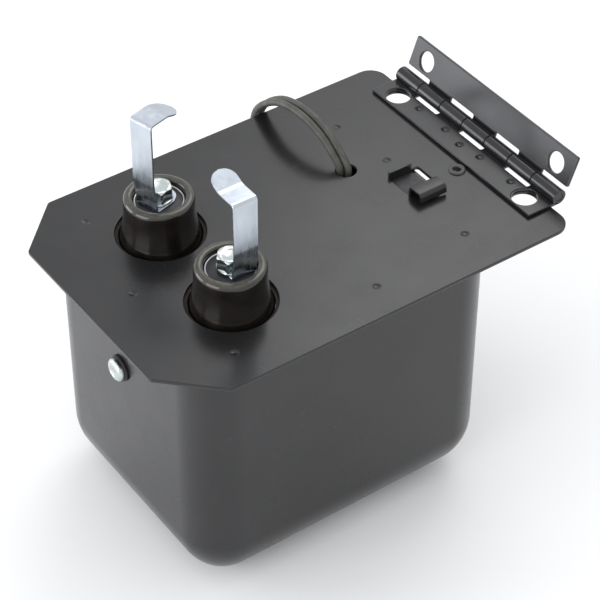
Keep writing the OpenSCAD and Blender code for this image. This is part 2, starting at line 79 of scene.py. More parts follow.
class Nodes:
    """Small helper round one material's node tree."""

    def __init__(self, name):
        self.mat = bpy.data.materials.new(name)
        self.mat.use_nodes = True
        self.tree = self.mat.node_tree
        self.shader = self.tree.nodes["Principled BSDF"]
        self.at = self.new("ShaderNodeTexCoord").outputs["Object"]

    def new(self, kind, **values):
        n = self.tree.nodes.new(kind)
        for k, v in values.items():
            setattr(n, k, v)
        return n

    def link(self, a, b):
        self.tree.links.new(a, b)

    def set(self, **values):
        for k, v in values.items():
            self.shader.inputs[k.replace("_", " ")].default_value = v

    def noise(self, scale, detail=4, stretch=(1, 1, 1)):
        m = self.new("ShaderNodeMapping")
        m.inputs["Scale"].default_value = stretch
        self.link(self.at, m.inputs["Vector"])
        n = self.new("ShaderNodeTexNoise")
        n.inputs["Scale"].default_value = scale
        n.inputs["Detail"].default_value = detail
        n.inputs["Roughness"].default_value = NOISE_ROUGHNESS
        self.link(m.outputs[0], n.inputs["Vector"])
        return n.outputs["Fac"]

    def ramp(self, fac, *stops):
        """A colour ramp of (position, colour or grey) stops."""
        r = self.new("ShaderNodeValToRGB")
        e = r.color_ramp.elements
        for i, (p, c) in enumerate(stops):
            c = (c, c, c) if isinstance(c, (int, float)) else c
            s = e[i] if i < 2 else e.new(p)
            s.position = p
            s.color = (*c, 1)
        self.link(fac, r.inputs["Fac"])
        return r.outputs["Color"]

    def mix(self, fac, a, b):
        m = self.new("ShaderNodeMix", data_type="RGBA")
        for value, index in ((fac, MIX_FACTOR), (a, MIX_A), (b, MIX_B)):
            socket = m.inputs[index]
            if hasattr(value, "links"):
                self.link(value, socket)
            else:
                socket.default_value = value if isinstance(value, float) else (*value, 1)
        return m.outputs[MIX_OUT]

    def bump(self, height, strength, distance):
        """Adds a bump, distance in metres, on top of those the shader already has."""
        b = self.new("ShaderNodeBump")
        b.inputs["Strength"].default_value = strength
        b.inputs["Distance"].default_value = distance
        self.link(height, b.inputs["Height"])
        last = self.shader.inputs["Normal"]
        if last.links:
            self.link(last.links[0].from_socket, b.inputs["Normal"])
        self.link(b.outputs[0], last)

    def color(self, c):
        self.link(c, self.shader.inputs["Base Color"])

    def rough(self, r):
        self.link(r, self.shader.inputs["Roughness"])


def paint(name, dark, light, rough_lo, rough_hi, peel=0.06):
    """Baked enamel: faint mottling, orange peel, dust, and sparse pale rubs."""
    n = Nodes(name)
    body = n.ramp(n.noise(38), (0.3, dark), (0.75, light))
    dust = n.ramp(n.noise(900, 2), (0.72, 0.0), (0.8, 0.35))
    body = n.mix(dust, body, DUST_GREY)
    rubs = n.ramp(n.noise(150, 5, (1, 0.2, 1)), (0.68, 0.0), (0.76, 0.12))
    n.color(n.mix(rubs, body, RUB_GREY))
    n.rough(n.ramp(n.noise(60), (0.3, rough_lo), (0.7, rough_hi)))
    n.set(Coat_Weight=0.05, Coat_Roughness=0.15, IOR=1.5)
    n.bump(n.noise(1300, 2), peel, 0.0001)
    n.bump(n.noise(24, 2), 0.1, 0.0008)
    return n.mat


def zinc(name, tint=(0.56, 0.61, 0.67), rough=(0.16, 0.3), yellow=0.25):
    """Bright zinc plate: rolled streaks and slight blue to yellow passivation."""
    n = Nodes(name)
    blue = n.ramp(n.noise(110), (0.25, tuple(c * 0.86 for c in tint)), (0.7, tint))
    n.color(n.mix(n.ramp(n.noise(70), (0.5, 0.0), (0.75, yellow)), blue, (0.86, 0.84, 0.62)))
    n.rough(n.ramp(n.noise(420, 3, (1, 1, 0.12)), (0.3, rough[0]), (0.7, rough[1])))
    n.set(Metallic=1.0)
    n.bump(n.noise(1500, 3, (1, 1, 0.08)), 0.05, 0.0001)
    return n.mat


def steel(name, color, rough=(0.28, 0.5), metallic=1.0):
    """Plain metal with mottled colour and roughness."""
    n = Nodes(name)
    n.color(n.ramp(n.noise(220), (0.25, tuple(c * 0.75 for c in color)), (0.75, color)))
    n.rough(n.ramp(n.noise(500), (0.3, rough[0]), (0.7, rough[1])))
    n.set(Metallic=metallic)
    n.bump(n.noise(1600, 3), 0.08, 0.0001)
    return n.mat


def glaze(name):
    """Dark brown glaze that runs thin and turns olive on the rim."""
    n = Nodes(name)
    split = n.new("ShaderNodeSeparateXYZ")
    n.link(n.at, split.inputs[0])
    level = n.new("ShaderNodeMapRange")
    level.inputs["From Min"].default_value = RIM_STARTS
    level.inputs["From Max"].default_value = RIM_FULL
    n.link(split.outputs["Z"], level.inputs["Value"])
    dark = n.ramp(n.noise(160), (0.3, (0.005, 0.004, 0.0035)), (0.75, (0.013, 0.010, 0.008)))
    rim = n.ramp(n.noise(520), (0.3, (0.03, 0.028, 0.02)), (0.7, (0.06, 0.056, 0.04)))
    n.color(n.mix(n.ramp(level.outputs[0], (0.2, 0.0), (0.9, 1.0)), dark, rim))
    n.rough(n.ramp(n.noise(80), (0.3, 0.10), (0.7, 0.2)))
    n.set(Coat_Weight=0.2, Coat_Roughness=0.06)
    n.bump(n.noise(160, 2), 0.12, 0.0003)
    return n.mat


def cover(name):
    """Insulation of the leads: olive black, matt, finely grained along its length."""
    n = Nodes(name)
    n.color(n.ramp(n.noise(260), (0.3, (0.045, 0.045, 0.039)), (0.7, (0.09, 0.09, 0.075))))
    n.rough(n.ramp(n.noise(400), (0.3, 0.42), (0.7, 0.58)))
    n.bump(n.noise(2600, 2), 0.15, 0.0001)
    return n.mat


def layered(name, a, b, scale, axis, rough=0.6, metallic=0.0):
    """Stacked sheets or wound turns: fine bands across one axis."""
    n = Nodes(name)
    w = n.new("ShaderNodeTexWave", wave_type="BANDS", bands_direction=axis)
    w.inputs["Scale"].default_value = scale
    w.inputs["Distortion"].default_value = 1.2
    n.link(n.at, w.inputs["Vector"])
    band = n.ramp(w.outputs["Fac"], (0.2, a), (0.8, b))
    n.color(n.mix(0.25, band, n.ramp(n.noise(240), (0.3, a), (0.7, b))))
    n.set(Roughness=rough, Metallic=metallic)
    n.bump(w.outputs["Fac"], 0.4, 0.0003)
    return n.mat


def fibre(name, a, b, rough=0.85):
    """Pressed, poured or rubbery stuff: two close colours and a fine grain."""
    n = Nodes(name)
    n.color(n.ramp(n.noise(600, 6), (0.3, a), (0.7, b)))
    n.rough(n.ramp(n.noise(500), (0.3, rough - 0.1), (0.7, rough)))
    n.bump(n.noise(1800, 4), 0.3, 0.0002)
    return n.mat


PAINT = paint("enamel", (0.009, 0.009, 0.0095), (0.013, 0.013, 0.0138), 0.23, 0.29)
LEAF = paint("leaf_enamel", (0.008, 0.008, 0.009), (0.013, 0.013, 0.0145), 0.18, 0.25, 0.04)
GLAZE = glaze("porcelain_glaze")
ZINC = zinc("zinc_strip", yellow=0.06)
SCREW_ZINC = zinc("zinc_screw", (0.6, 0.65, 0.64), (0.14, 0.26), 0.5)
STEEL = steel("bare_steel", (0.5, 0.51, 0.52))
# Black oxide for the small black parts; on can_rim it also stands for painted shade, so the window
# under the wire tab reads dark.
DARK = steel("black_oxide_and_painted_shade", (0.03, 0.03, 0.032), (0.4, 0.55), 0.0)
EYELET = steel("dull_eyelet", (0.10, 0.10, 0.095), (0.35, 0.5), 0.6)
BRASS = steel("turned_brass", (0.72, 0.55, 0.25))
COPPER = zinc("tinned_copper", (0.8, 0.68, 0.56), (0.25, 0.4), 0.2)
COVER = cover("lead_insulation")
CORE = layered("core_sheets", (0.05, 0.05, 0.055), (0.2, 0.2, 0.21), 700, "Z", 0.45, 0.8)
WIND = layered("winding_turns", (0.16, 0.05, 0.015), (0.42, 0.17, 0.06), 420, "Y", 0.35)
BOARD = fibre("pressed_board", (0.42, 0.33, 0.19), (0.6, 0.5, 0.32))
CORK = fibre("cork_gasket", (0.012, 0.009, 0.007), (0.035, 0.024, 0.016))
PITCH = fibre("filling_compound", (0.006, 0.005, 0.004), (0.015, 0.012, 0.01), 0.45)
SILICONE = fibre("silicone_wire", (0.3, 0.02, 0.015), (0.42, 0.04, 0.03), 0.5)

CAD_LOOKS = {
    # can_rim is dark here as painted shade: it darkens the window under the wire tab, where the tab
    # casts its shadow.
    DARK: ["can_rim", "bushing_clamps", "hinge_pin"],
    STEEL: ["terminal_nuts", "can_screw_nut", "core_bolts", "core_nuts", "core_feet",
            "lead_clamp"],
    BRASS: ["terminal_inserts", "ground_strap"],
    CORE: ["core_legs", "core_yoke", "magnetic_shunts"],
    WIND: ["primary_coil", "secondary_coils"],
    BOARD: ["primary_bobbin", "secondary_bobbins", "insulation_boards"],
    CORK: ["bushing_gaskets"],
    PITCH: ["sealing_compound"],
    SILICONE: ["high_voltage_wires"],
}
for look, names in CAD_LOOKS.items():
    for name in names:
        for s in nodes[name].material_slots:
            s.material = look


# ---------------------------------------------------------------- mesh helpers
WELD = 1e-6         # points nearer than this, in metres, become one
ON_AXIS = 1e-6      # a turned profile's smaller radii, in millimetres, are its axis


def tidy(ob, weld=True):
    """Welds coincident points, unless told not to, and turns the faces outward."""
    bm = bmesh.new()
    bm.from_mesh(ob.data)
    if weld:
        bmesh.ops.remove_doubles(bm, verts=bm.verts, dist=WELD)
    bmesh.ops.recalc_face_normals(bm, faces=bm.faces)
    bm.to_mesh(ob.data)
    bm.free()


def loose(name, verts, faces, weld=True):
    """A new mesh object that rides on nothing yet."""
    mesh = bpy.data.meshes.new(name)
    mesh.from_pydata([tuple(v) for v in verts], [], faces)
    ob = bpy.data.objects.new(name, mesh)
    bpy.context.scene.collection.objects.link(ob)
    tidy(ob, weld)
    return ob


def dress(ob, mat, body, node, sharp=40):
    """Sets an object's material, sharp angle, body, and the CAD node or nodes it replaces."""
    ob.data.materials.clear()
    ob.data.materials.append(mat)
    ob.data.set_sharp_from_angle(angle=math.radians(sharp))
    if body:
        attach(ob, body)
    if node:
        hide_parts(*([node] if isinstance(node, str) else node))
    return ob


def piece(name, verts, faces, mat, body, node, slot, sharp=40, weld=True):
    """A new mesh piece that rides on a body and stands for a CAD node."""
    return dress(loose(name, verts, faces, weld), mat, body, node, sharp)


def join(first, *others):
    """Moves the other objects' meshes into the first."""
    bm = bmesh.new()
    for o in (first, *others):
        bm.from_mesh(o.data)
    bm.to_mesh(first.data)
    bm.free()
    for o in others:
        bpy.data.objects.remove(o)
    return first


def bridge(rows):
    """Quads from each row of point numbers to the next, all the way round."""
    n = len(rows[0])
    return [[a[k], a[(k + 1) % n], b[(k + 1) % n], b[k]]
            for a, b in zip(rows, rows[1:]) for k in range(n)]


def apply_all(ob):
    """Bakes an object's modifiers into a plain mesh object of the same name."""
    bpy.context.view_layer.update()
    got = bpy.data.meshes.new_from_object(ob.evaluated_get(bpy.context.evaluated_depsgraph_get()))
    new = bpy.data.objects.new(ob.name, got)
    new.matrix_world = ob.matrix_world.copy()
    name = ob.name
    bpy.data.objects.remove(ob)
    bpy.context.scene.collection.objects.link(new)
    new.name = name
    return new


def lathe_data(profile, segments=96, place=Matrix.Identity(4)):
    """Turns (radius, height) points in millimetres round +Z; a zero radius closes the end."""
    verts, faces, rows = [], [], []
    for r, z in profile:
        if r < ON_AXIS:
            rows.append([len(verts)])
            verts.append(place @ V(0, 0, z))
            continue
        rows.append(range(len(verts), len(verts) + segments))
        for k in range(segments):
            a = 2 * math.pi * k / segments
            verts.append(place @ V(r * math.cos(a), r * math.sin(a), z))
    for a, b in zip(rows, rows[1:]):
        for k in range(segments):
            j = (k + 1) % segments
            quad = [a[k % len(a)], a[j % len(a)], b[j % len(b)], b[k % len(b)]]
            face = [v for i, v in enumerate(quad) if v not in quad[:i]]
            if len(face) > 2:
                faces.append(face)
    return verts, faces


def arc(cx, cy, r, a0, a1, n=8):
    """Points along an arc from angle a0 to a1, in degrees."""
    return [(cx + r * math.cos(math.radians(a0 + (a1 - a0) * k / n)),
             cy + r * math.sin(math.radians(a0 + (a1 - a0) * k / n))) for k in range(n + 1)]


def circle(cx, cy, r, n=48):
    return arc(cx, cy, r, 0, 360 - 360 / n, n - 1)


def rounded(points, r, n=5):
    """Polygon points with every corner rounded by about r."""
    out = []
    count = len(points)
    for i, p in enumerate(points):
        p, a, b = Vector(p), Vector(points[i - 1]), Vector(points[(i + 1) % count])
        rr = min(r, (a - p).length * 0.49, (b - p).length * 0.49)
        s, e = p + (a - p).normalized() * rr, p + (b - p).normalized() * rr
        out += [tuple((1 - t) ** 2 * s + 2 * t * (1 - t) * p + t * t * e) for t in
                [k / n for k in range(n + 1)]]
    return out


def signed_area(points):
    """A loop's area, positive if it runs anticlockwise."""
    return sum(a[0] * b[1] - b[0] * a[1] for a, b in zip(points, points[1:] + points[:1])) / 2


def inside(x, y, points):
    """True if the point lies in the loop."""
    hit = False
    for (ax, ay), (bx, by) in zip(points, points[1:] + points[:1]):
        if (ay > y) != (by > y) and x < (bx - ax) * (y - ay) / (by - ay) + ax:
            hit = not hit
    return hit


def distinct(points, least):
    """The points of a loop that are at least so far from the one before."""
    return [p for i, p in enumerate(points) if (Vector(p) - Vector(points[i - 1])).length > least]


def inset(points, d):
    """Moves a loop by d towards its left, where the sheet's metal is."""
    out = []
    for i, p in enumerate(points):
        a = (Vector(p) - Vector(points[i - 1])).normalized()
        b = (Vector(points[(i + 1) % len(points)]) - Vector(p)).normalized()
        n = Vector((-(a + b).y, (a + b).x)).normalized()
        grow = 1 / max(n.dot(Vector((-a.y, a.x))), 0.5)
        out.append((p[0] + n.x * d * grow, p[1] + n.y * d * grow))
    return out


def sheet_metal(name, outlines, z0, z1, edge):
    """A flat sheet with holes and softly rounded edges; the outer loop comes first."""
    loops = []
    for i, points in enumerate(outlines):
        clean = distinct(points, 1e-3)
        loops.append(clean if (signed_area(clean) > 0) == (i == 0) else clean[::-1])
    verts, faces = [], []
    caps = [inset(p, edge) for p in loops]
    ease = edge * 0.3
    for points in loops:
        rows = []
        for d, z in ((edge, z1), (ease, z1 - ease), (0, z1 - edge),
                     (0, z0 + edge), (ease, z0 + ease), (edge, z0)):
            ring = inset(points, d)
            rows.append(range(len(verts), len(verts) + len(ring)))
            verts += [V(x, y, z) for x, y in ring]
        faces += bridge(rows)
    flat, links = [], []
    for ring in caps:
        start, n = len(flat), len(ring)
        flat += [Vector(p) for p in ring]
        links += [(start + k, start + (k + 1) % n) for k in range(n)]
    cut, _, triangles, *_ = delaunay_2d_cdt(flat, links, [], 0, 1e-5)
    for z in (z1, z0):
        base = len(verts)
        verts += [V(p.x, p.y, z) for p in cut]
        for t in triangles:
            x, y = (sum(cut[i][axis] for i in t) / 3 for axis in (0, 1))
            if inside(x, y, caps[0]) and not any(inside(x, y, c) for c in caps[1:]):
                faces.append([base + i for i in t])
    return loose(name, verts, faces)


def dishes(spots, radius, depth, z, thick):
    """Shallow round dishes, the marks of spot welds, that fill holes of that radius in a sheet."""
    made = []
    skirt, under = radius + 0.3, z - thick + 0.1        # hidden inside the sheet
    for x, y in spots:
        profile = [(0, z - depth)] + [
            (radius * t, z - depth * (1 - t * t) - 0.02) for t in (0.25, 0.5, 0.75, 0.95)]
        profile += [(skirt, z - 0.12), (skirt, under), (0, under)]
        made.append(loose("dish", *lathe_data(profile, 32, Matrix.Translation(V(x, y, 0)))))
    return join(*made)


# ---------------------------------------------------------------- leads
TOP = 120.0                 # height of the plate's upper face
LEAD_R = 1.5
LEAD_GAP = 1.6              # from the pair's middle line to each lead's
TURN_FROM, TURN_RUN = 14, 22                            # the pair turns over this stretch of Y
SIDE_AT_EXIT, SIDE_AFTER = (0.82, -0.57), (1, 0.05)     # from one lead towards the other
SPAN_STEPS = 6
STRANDS, STRAND_RINGS, STRAND_SIDES = 7, 25, 6
STRAND_R, STRAND_OUT, STRAND_TWISTS, BARE_L = 0.27, 0.52, 1.2, 12
ROUTE = [
    (44.2, 14, TOP - 9), (44.4, 14, TOP - 2), (44.3, 14.7, TOP + 2), (43.8, 20.6, TOP + 7.4),
    (43.2, 27.2, TOP + 11.4), (42.3, 36.2, TOP + 14), (41.4, 45, TOP + 14.2),
    (40.6, 52.4, TOP + 12.2), (40, 59.4, TOP + 7.6), (39.4, 64.6, TOP + 2), (39, 66.6, TOP - 4),
    (38.8, 67.4, TOP - 14), (38.6, 67.6, 80), (38.6, 67.4, 52), (38.6, 67.8, 28), (38.6, 69.6, 14),
    (38.6, 74, 6), (38.4, 81, 2.4), (38, 90, 1.6), (37, 105, 1.6), (35, 122, 1.6), (34, 138, 1.6),
    (34, 150, 1.6)]


def lead_line(side):
    """One lead's middle line: the pair's route, moved to its side and smoothed."""
    (ax, ay), (bx, by) = SIDE_AT_EXIT, SIDE_AFTER
    pts = []
    for p in ROUTE:
        t = min(max((p[1] - TURN_FROM) / TURN_RUN, 0), 1)
        d = Vector((ax * (1 - t) + bx * t, ay * (1 - t) + by * t, 0)).normalized()
        pts.append(Vector(p) + side * LEAD_GAP * d)
    out = []
    for i in range(len(pts) - 1):
        a, b, c, d = (pts[max(i - 1, 0)], pts[i], pts[i + 1], pts[min(i + 2, len(pts) - 1)])
        for k in range(SPAN_STEPS):
            t = k / SPAN_STEPS
            out.append(0.5 * (2 * b + (c - a) * t + (2 * a - 5 * b + 4 * c - d) * t * t
                              + (3 * b - a - 3 * c + d) * t ** 3))
    return out + [pts[-1]]


def strands(tip):
    """A lead's bared end: twisted strands round a straight one, which comes last."""
    verts, faces = [], []
    for strand in range(STRANDS):
        base = len(verts)
        off = 0 if strand == STRANDS - 1 else STRAND_OUT
        for i in range(STRAND_RINGS):
            a = 2 * math.pi * (strand / (STRANDS - 1) + STRAND_TWISTS * i / STRAND_RINGS)
            along = BARE_L * i / (STRAND_RINGS - 1)
            centre = tip + Vector((off * math.cos(a), along, off * math.sin(a)))
            for k in range(STRAND_SIDES):
                b = 2 * math.pi * k / STRAND_SIDES
                verts.append((centre + STRAND_R * Vector((math.cos(b), 0, math.sin(b)))) * MM)
        rows = [range(base + i * STRAND_SIDES, base + (i + 1) * STRAND_SIDES)
                for i in range(STRAND_RINGS)]
        for p, q in zip(rows, rows[1:]):
            for k in range(STRAND_SIDES):
                j = (k + 1) % STRAND_SIDES
                faces.append([p[k], q[k], q[j], p[j]])
        faces += [list(rows[0]), list(reversed(rows[-1]))]
    return verts, faces


for tag, side in (("a", -1), ("b", 1)):
    line = lead_line(side)
    curve = bpy.data.curves.new("lead_" + tag + "_cover", "CURVE")
    curve.dimensions = "3D"
    curve.bevel_depth = LEAD_R * MM
    curve.bevel_resolution = 5
    curve.use_fill_caps = True
    spline = curve.splines.new("POLY")
    spline.points.add(len(line) - 1)
    for q, p in zip(spline.points, line):
        q.co = (*(p * MM), 1)
    spline.use_smooth = True
    lead = bpy.data.objects.new("lead_" + tag + "_cover", curve)
    bpy.context.scene.collection.objects.link(lead)
    curve.materials.append(COVER)
    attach(lead, "transformer")
    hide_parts("lead_" + tag)
    end = piece("strands_" + tag, *strands(line[-1]), COPPER, "transformer", "lead_end_" + tag,
                "tinned_wire", weld=False)

# ---------------------------------------------------------------- can
CAN_L, CAN_W, CAN_H, CAN_R, CAN_FILLET, WALL = 136.5, 110.5, 118.5, 18.5, 26.0, 1.3


def can_rings(l, w, h, r, fillet, z0):
    """Rings of a drawn can's skin, from its floor up, with the floor's edge rounded by fillet."""
    rings = []
    levels = [(fillet * (1 - math.sin(a)), fillet * (1 - math.cos(a)))
              for a in [math.pi / 2 * k / 20 for k in range(21)]]
    levels += [(0, fillet + (h - fillet) * k / 4) for k in range(1, 5)]
    for pull, z in levels:
        hl, hw, rr = l / 2 - pull, w / 2 - pull, max(r - 0.9 * pull, 1)
        ring = []
        for cx, cy, a0 in ((1, 1, 0), (-1, 1, 90), (-1, -1, 180), (1, -1, 270)):
            ring += arc(cx * (hl - rr), cy * (hw - rr), rr, a0, a0 + 90, 12)
        rings.append([V(x, y, z0 + z) for x, y in ring])
    return rings


outer = can_rings(CAN_L, CAN_W, CAN_H, CAN_R, CAN_FILLET, 0)
inner = can_rings(CAN_L - 2 * WALL, CAN_W - 2 * WALL, CAN_H - WALL, CAN_R - WALL,
                  CAN_FILLET - WALL, WALL)
rings = outer + inner[::-1]
around = len(rings[0])
rows = [range(i * around, (i + 1) * around) for i in range(len(rings))]
ends = [list(rows[0]), list(rows[-1])]
piece("drawn_can", [v for ring in rings for v in ring], bridge(rows) + ends, PAINT, "transformer",
      "can", "black_paint", 50)

# ---------------------------------------------------------------- plate
X0, X1, HALF = -81.75, 96.25, 63.5          # front edge, rear edge, half width
CUT, REAR = 21.0, 7.5                       # cut front corners, radius of the rear ones
SHEET_T, SHEET_EDGE = 1.5, 0.3              # the plate's and leaves' thickness, their worn edge
WIN_X0, WIN_X1, WIN_Y0, WIN_Y1 = 55.7, 69.6, -12.5, -0.6
TERM_X, TERM_Y, TERM_HOLE_R = -34.5, 24.0, 17.6
PIN_X, PIN_Z, HINGE_Y = 99.65, 123.25, -0.6
FIXED_HOLE_IN, FIXED_HOLE_Y, FIXED_HOLE_R = 9.2, 40.2, 5.2      # from the pin and the middle
LEAD_HOLE = (45.1, 13.6, 4.2)
EYELET_X, EYELET_Y, EYELET_HOLE_R = 80.8, -11.3, 2.6
SPOT_R, SPOT_DEPTH = 1.5, 0.4
SPOTS = [(-55, 45), (-62, -0.5), (-49.5, -48.4), (13.5, -48.8), (59, -43.8), (62, 9.4), (58.5, 38)]
PER_CORNER = 6                              # points that rounded() makes for each corner

corners = rounded([(X0, -HALF + CUT), (X0 + CUT, -HALF), (X1, -HALF), (X1, HALF), (X0 + CUT, HALF),
                   (X0, HALF - CUT)], 1.0)
outline = (corners[:2 * PER_CORNER] + arc(X1 - REAR, -HALF + REAR, REAR, -90, 0, 14)
           + arc(X1 - REAR, HALF - REAR, REAR, 0, 90, 14) + corners[4 * PER_CORNER:])
holes = [circle(TERM_X, s * TERM_Y, TERM_HOLE_R, 96) for s in (-1, 1)]
holes += [circle(PIN_X - FIXED_HOLE_IN, HINGE_Y + s * FIXED_HOLE_Y, FIXED_HOLE_R, 64)
          for s in (-1, 1)]
holes += [circle(*LEAD_HOLE), circle(EYELET_X, EYELET_Y, EYELET_HOLE_R)]
holes.append(rounded([(WIN_X0, WIN_Y0), (WIN_X1, WIN_Y0), (WIN_X1, WIN_Y1), (WIN_X0, WIN_Y1)], 1.0))
holes += [circle(x, y, SPOT_R, 32) for x, y in SPOTS]
plate = sheet_metal("plate_sheet", [outline] + holes, TOP - SHEET_T, TOP, SHEET_EDGE)
plate = join(plate, dishes(SPOTS, SPOT_R, SPOT_DEPTH, TOP, SHEET_T))


def ribbon(name, side_points, x0, x1, edge):
    """Extrudes a closed side outline, (y, z) in millimetres, along X and softens its edges."""
    n = len(side_points)
    verts = [V(x, y, z) for x in (x0, x1) for y, z in side_points]
    near, far = range(n), range(n, 2 * n)
    ob = loose(name, verts, bridge([near, far]) + [list(near), list(reversed(far))])
    mod = ob.modifiers.new("soft", "BEVEL")
    mod.width = edge * MM
    mod.segments = 2
    mod.angle_limit = math.radians(50)
    return apply_all(ob)


def band(mids, t):
    """Closed outline of a bent sheet from its middle line."""
    outs, ins = [], []
    for i, p in enumerate(mids):
        a, b = Vector(mids[max(i - 1, 0)]), Vector(mids[min(i + 1, len(mids) - 1)])
        d = (b - a).normalized()
        n = Vector((-d.y, d.x))
        outs.append(tuple(Vector(p) + n * t / 2))
        ins.append(tuple(Vector(p) - n * t / 2))
    return outs + ins[::-1]


TAB_T = 1.15
tab_mid = ([(WIN_Y0 - 0.6, TOP - 1.4), (WIN_Y0 - 0.7, TOP + 0.4)]
           + arc(WIN_Y0 - 2.6, TOP + 2.3, 1.8, 0, 90, 6)[1:] + [(WIN_Y0 - 5.6, TOP + 4.1)]
           + arc(WIN_Y0 - 6.1, TOP + 2.6, 1.5, 90, 170, 6)[1:] + [(WIN_Y0 - 7.8, TOP + 0.9)])
tab = ribbon("tab", band(tab_mid, TAB_T), WIN_X0, WIN_X1 - 1.4, 0.22)
LIP_T, LIP_LOW, LIP_HIGH = 1.2, TOP - 0.5, TOP + 2.7
lip = ribbon("lip", [(WIN_Y1, LIP_LOW), (WIN_Y1 + LIP_T, LIP_LOW), (WIN_Y1 + LIP_T, LIP_HIGH),
                     (WIN_Y1, LIP_HIGH)], WIN_X0, WIN_X1 - 3, 0.35)
plate = join(plate, tab, lip)
dress(plate, PAINT, "transformer", "base_plate", 20)

EYELET_PROFILE = [(1.5, -2.6), (3.6, -2.6), (3.6, -1.55), (2.55, -1.55), (2.55, 0.02), (3.4, 0.02),
                  (3.45, 0.3), (3.2, 0.7), (2.6, 0.95), (2.0, 0.85), (1.6, 0.5), (1.5, 0.1),
                  (1.5, -2.6)]
place = Matrix.Translation(V(EYELET_X, EYELET_Y, TOP))
piece("rolled_eyelet", *lathe_data(EYELET_PROFILE, 64, place), EYELET, "transformer",
      "plate_eyelet", "plain_steel")

# ---------------------------------------------------------------- hinge
HINGE_L, SEGS = 100.0, 7
SEG = HINGE_L / SEGS
KNUCKLE_R, BORE, KNUCKLE_EDGE = 3.2, 1.72, 0.28
NOTCH, SEG_GAP = 4.4, 0.175                 # depth of a knuckle's gap, half the play at each end


def leaf(name, width, hole_s, hole_y, hole_r, own, spots=()):
    """One leaf about the Y axis, running to -X, with its outer face at +KNUCKLE_R.

    It has the knuckles whose number is own modulo 2, a hole each side of its middle, hole_s in
    from the pin, and smaller holes at the spots.
    """
    half = HINGE_L / 2
    pts = [(-width, -half), (-NOTCH, -half)]
    spans = []
    for i in range(SEGS):
        y0, y1 = -half + i * SEG, -half + (i + 1) * SEG
        y0 += 0 if i == 0 else SEG_GAP
        y1 -= 0 if i == SEGS - 1 else SEG_GAP
        if i % 2 == own:
            spans.append((y0, y1))
            pts += [(-NOTCH, y0), (0, y0), (0, y1), (-NOTCH, y1)]
    pts += [(-NOTCH, half), (-width, half)]
    loops = [rounded(distinct(pts, 0.01), 0.7, 4)]
    loops += [circle(-hole_s, s * hole_y, hole_r, 64) for s in (-1, 1)]
    loops += [circle(x, v, LEAF_SPOT_R, 32) for x, v in spots]
    sheet = sheet_metal(name, loops, KNUCKLE_R - SHEET_T, KNUCKLE_R, SHEET_EDGE)
    knuckles = []
    r, e, ease = KNUCKLE_R, KNUCKLE_EDGE, 0.08
    for y0, y1 in spans:
        profile = [(BORE, y0 + e), (BORE + e, y0), (r - e, y0), (r - ease, y0 + ease), (r, y0 + e),
                   (r, y1 - e), (r - ease, y1 - ease), (r - e, y1), (BORE + e, y1), (BORE, y1 - e),
                   (BORE, y0 + e)]
        along = Matrix.Rotation(math.radians(-90), 4, "X")
        knuckles.append(loose("knuckle", *lathe_data(profile, 48, along)))
    return join(sheet, *knuckles)


LEAF_SPOTS = [(-7.6, v) for v in (-28, -11, 11, 30)] + [(-9.2, 0)]
LEAF_SPOT_R, LEAF_SPOT_DEPTH = 1.7, 0.6
LEAF_TOP = TOP + 1.55
FREE_LEAF_TILT = 110.5                      # degrees, about the pin, from lying on the plate
at_pin = Matrix.Translation(V(PIN_X, HINGE_Y, PIN_Z))
fixed = leaf("fixed", 15.2, FIXED_HOLE_IN, FIXED_HOLE_Y, FIXED_HOLE_R, 0, LEAF_SPOTS)
fixed.data.transform(at_pin @ Matrix.Rotation(math.pi, 4, "X"))
tidy(fixed)
fixed = join(fixed, dishes([(PIN_X + x, HINGE_Y - v) for x, v in LEAF_SPOTS], LEAF_SPOT_R,
                           LEAF_SPOT_DEPTH, LEAF_TOP, SHEET_T))
fixed.name = "fixed_leaf_sheet"
dress(fixed, LEAF, "transformer", "hinge_fixed_leaf", 20)
free = leaf("free_leaf_sheet", 17.4, 10.1, 40.6, 4.3, 1)
free.data.transform(at_pin @ Matrix.Rotation(math.radians(FREE_LEAF_TILT), 4, "Y"))
tidy(free)
dress(free, LEAF, "free_leaf", "hinge_free_leaf", 20)

# ---------------------------------------------------------------- bushings and terminals
# radius and height from the plate's top: up the outside, over the rim, and down into the bore
BELL = [(3.6, -30), (9.3, -30), (10.4, -29.5), (11, -28.5), (11.6, -9.5), (19.0, -9.5),
        (19.7, -9.2), (20, -8.6), (20, -4.3), (19.6, -3.5), (19.0, -3.2), (16.1, -3.2),
        (15.9, -1.5), (15.2, 0), (14.9, 2), (14.6, 3.6), (14.3, 5.2), (14.05, 7), (13.85, 9),
        (13.74, 11), (13.7, 13), (13.68, 15.2), (13.6, 16.1), (13.4, 16.7), (13.05, 17.2),
        (12.6, 17.48), (12, 17.6), (10.9, 17.6), (10.45, 17.4), (10.15, 17), (10, 16.4),
        (10, 14.4), (9.7, 14.1), (3.6, 14.1), (3.6, -30)]
WASHER = [(2.6, 14.2), (9.6, 14.2), (9.8, 14.35), (9.8, 14.85), (9.6, 15.0), (2.6, 15.0),
          (2.6, 14.2)]
BEAD_R, BEAD_Z, BEAD_WIRE_R = 9.35, 15.15, 0.4
BEAD = circle(BEAD_R, BEAD_Z, BEAD_WIRE_R, 16) + [(BEAD_R + BEAD_WIRE_R, BEAD_Z)]
TERMINALS = (("left", 1), ("right", -1))


def at_terminal(side, z=TOP):
    return Matrix.Translation(V(TERM_X, side * TERM_Y, z))


def turned_pair(name, profile):
    """The same turned ring at both terminals, as one object."""
    return join(*[loose(name, *lathe_data(profile, 96, at_terminal(s))) for _, s in TERMINALS])


for tag, s in TERMINALS:
    piece("porcelain_" + tag, *lathe_data(BELL, 128, at_terminal(s)), GLAZE, "transformer",
          "bushing_" + tag, "porcelain", 60)
dress(turned_pair("terminal_washers", WASHER), DARK, "transformer", "terminal_cups")
dress(turned_pair("washer_beads", BEAD), STEEL, "transformer", None)


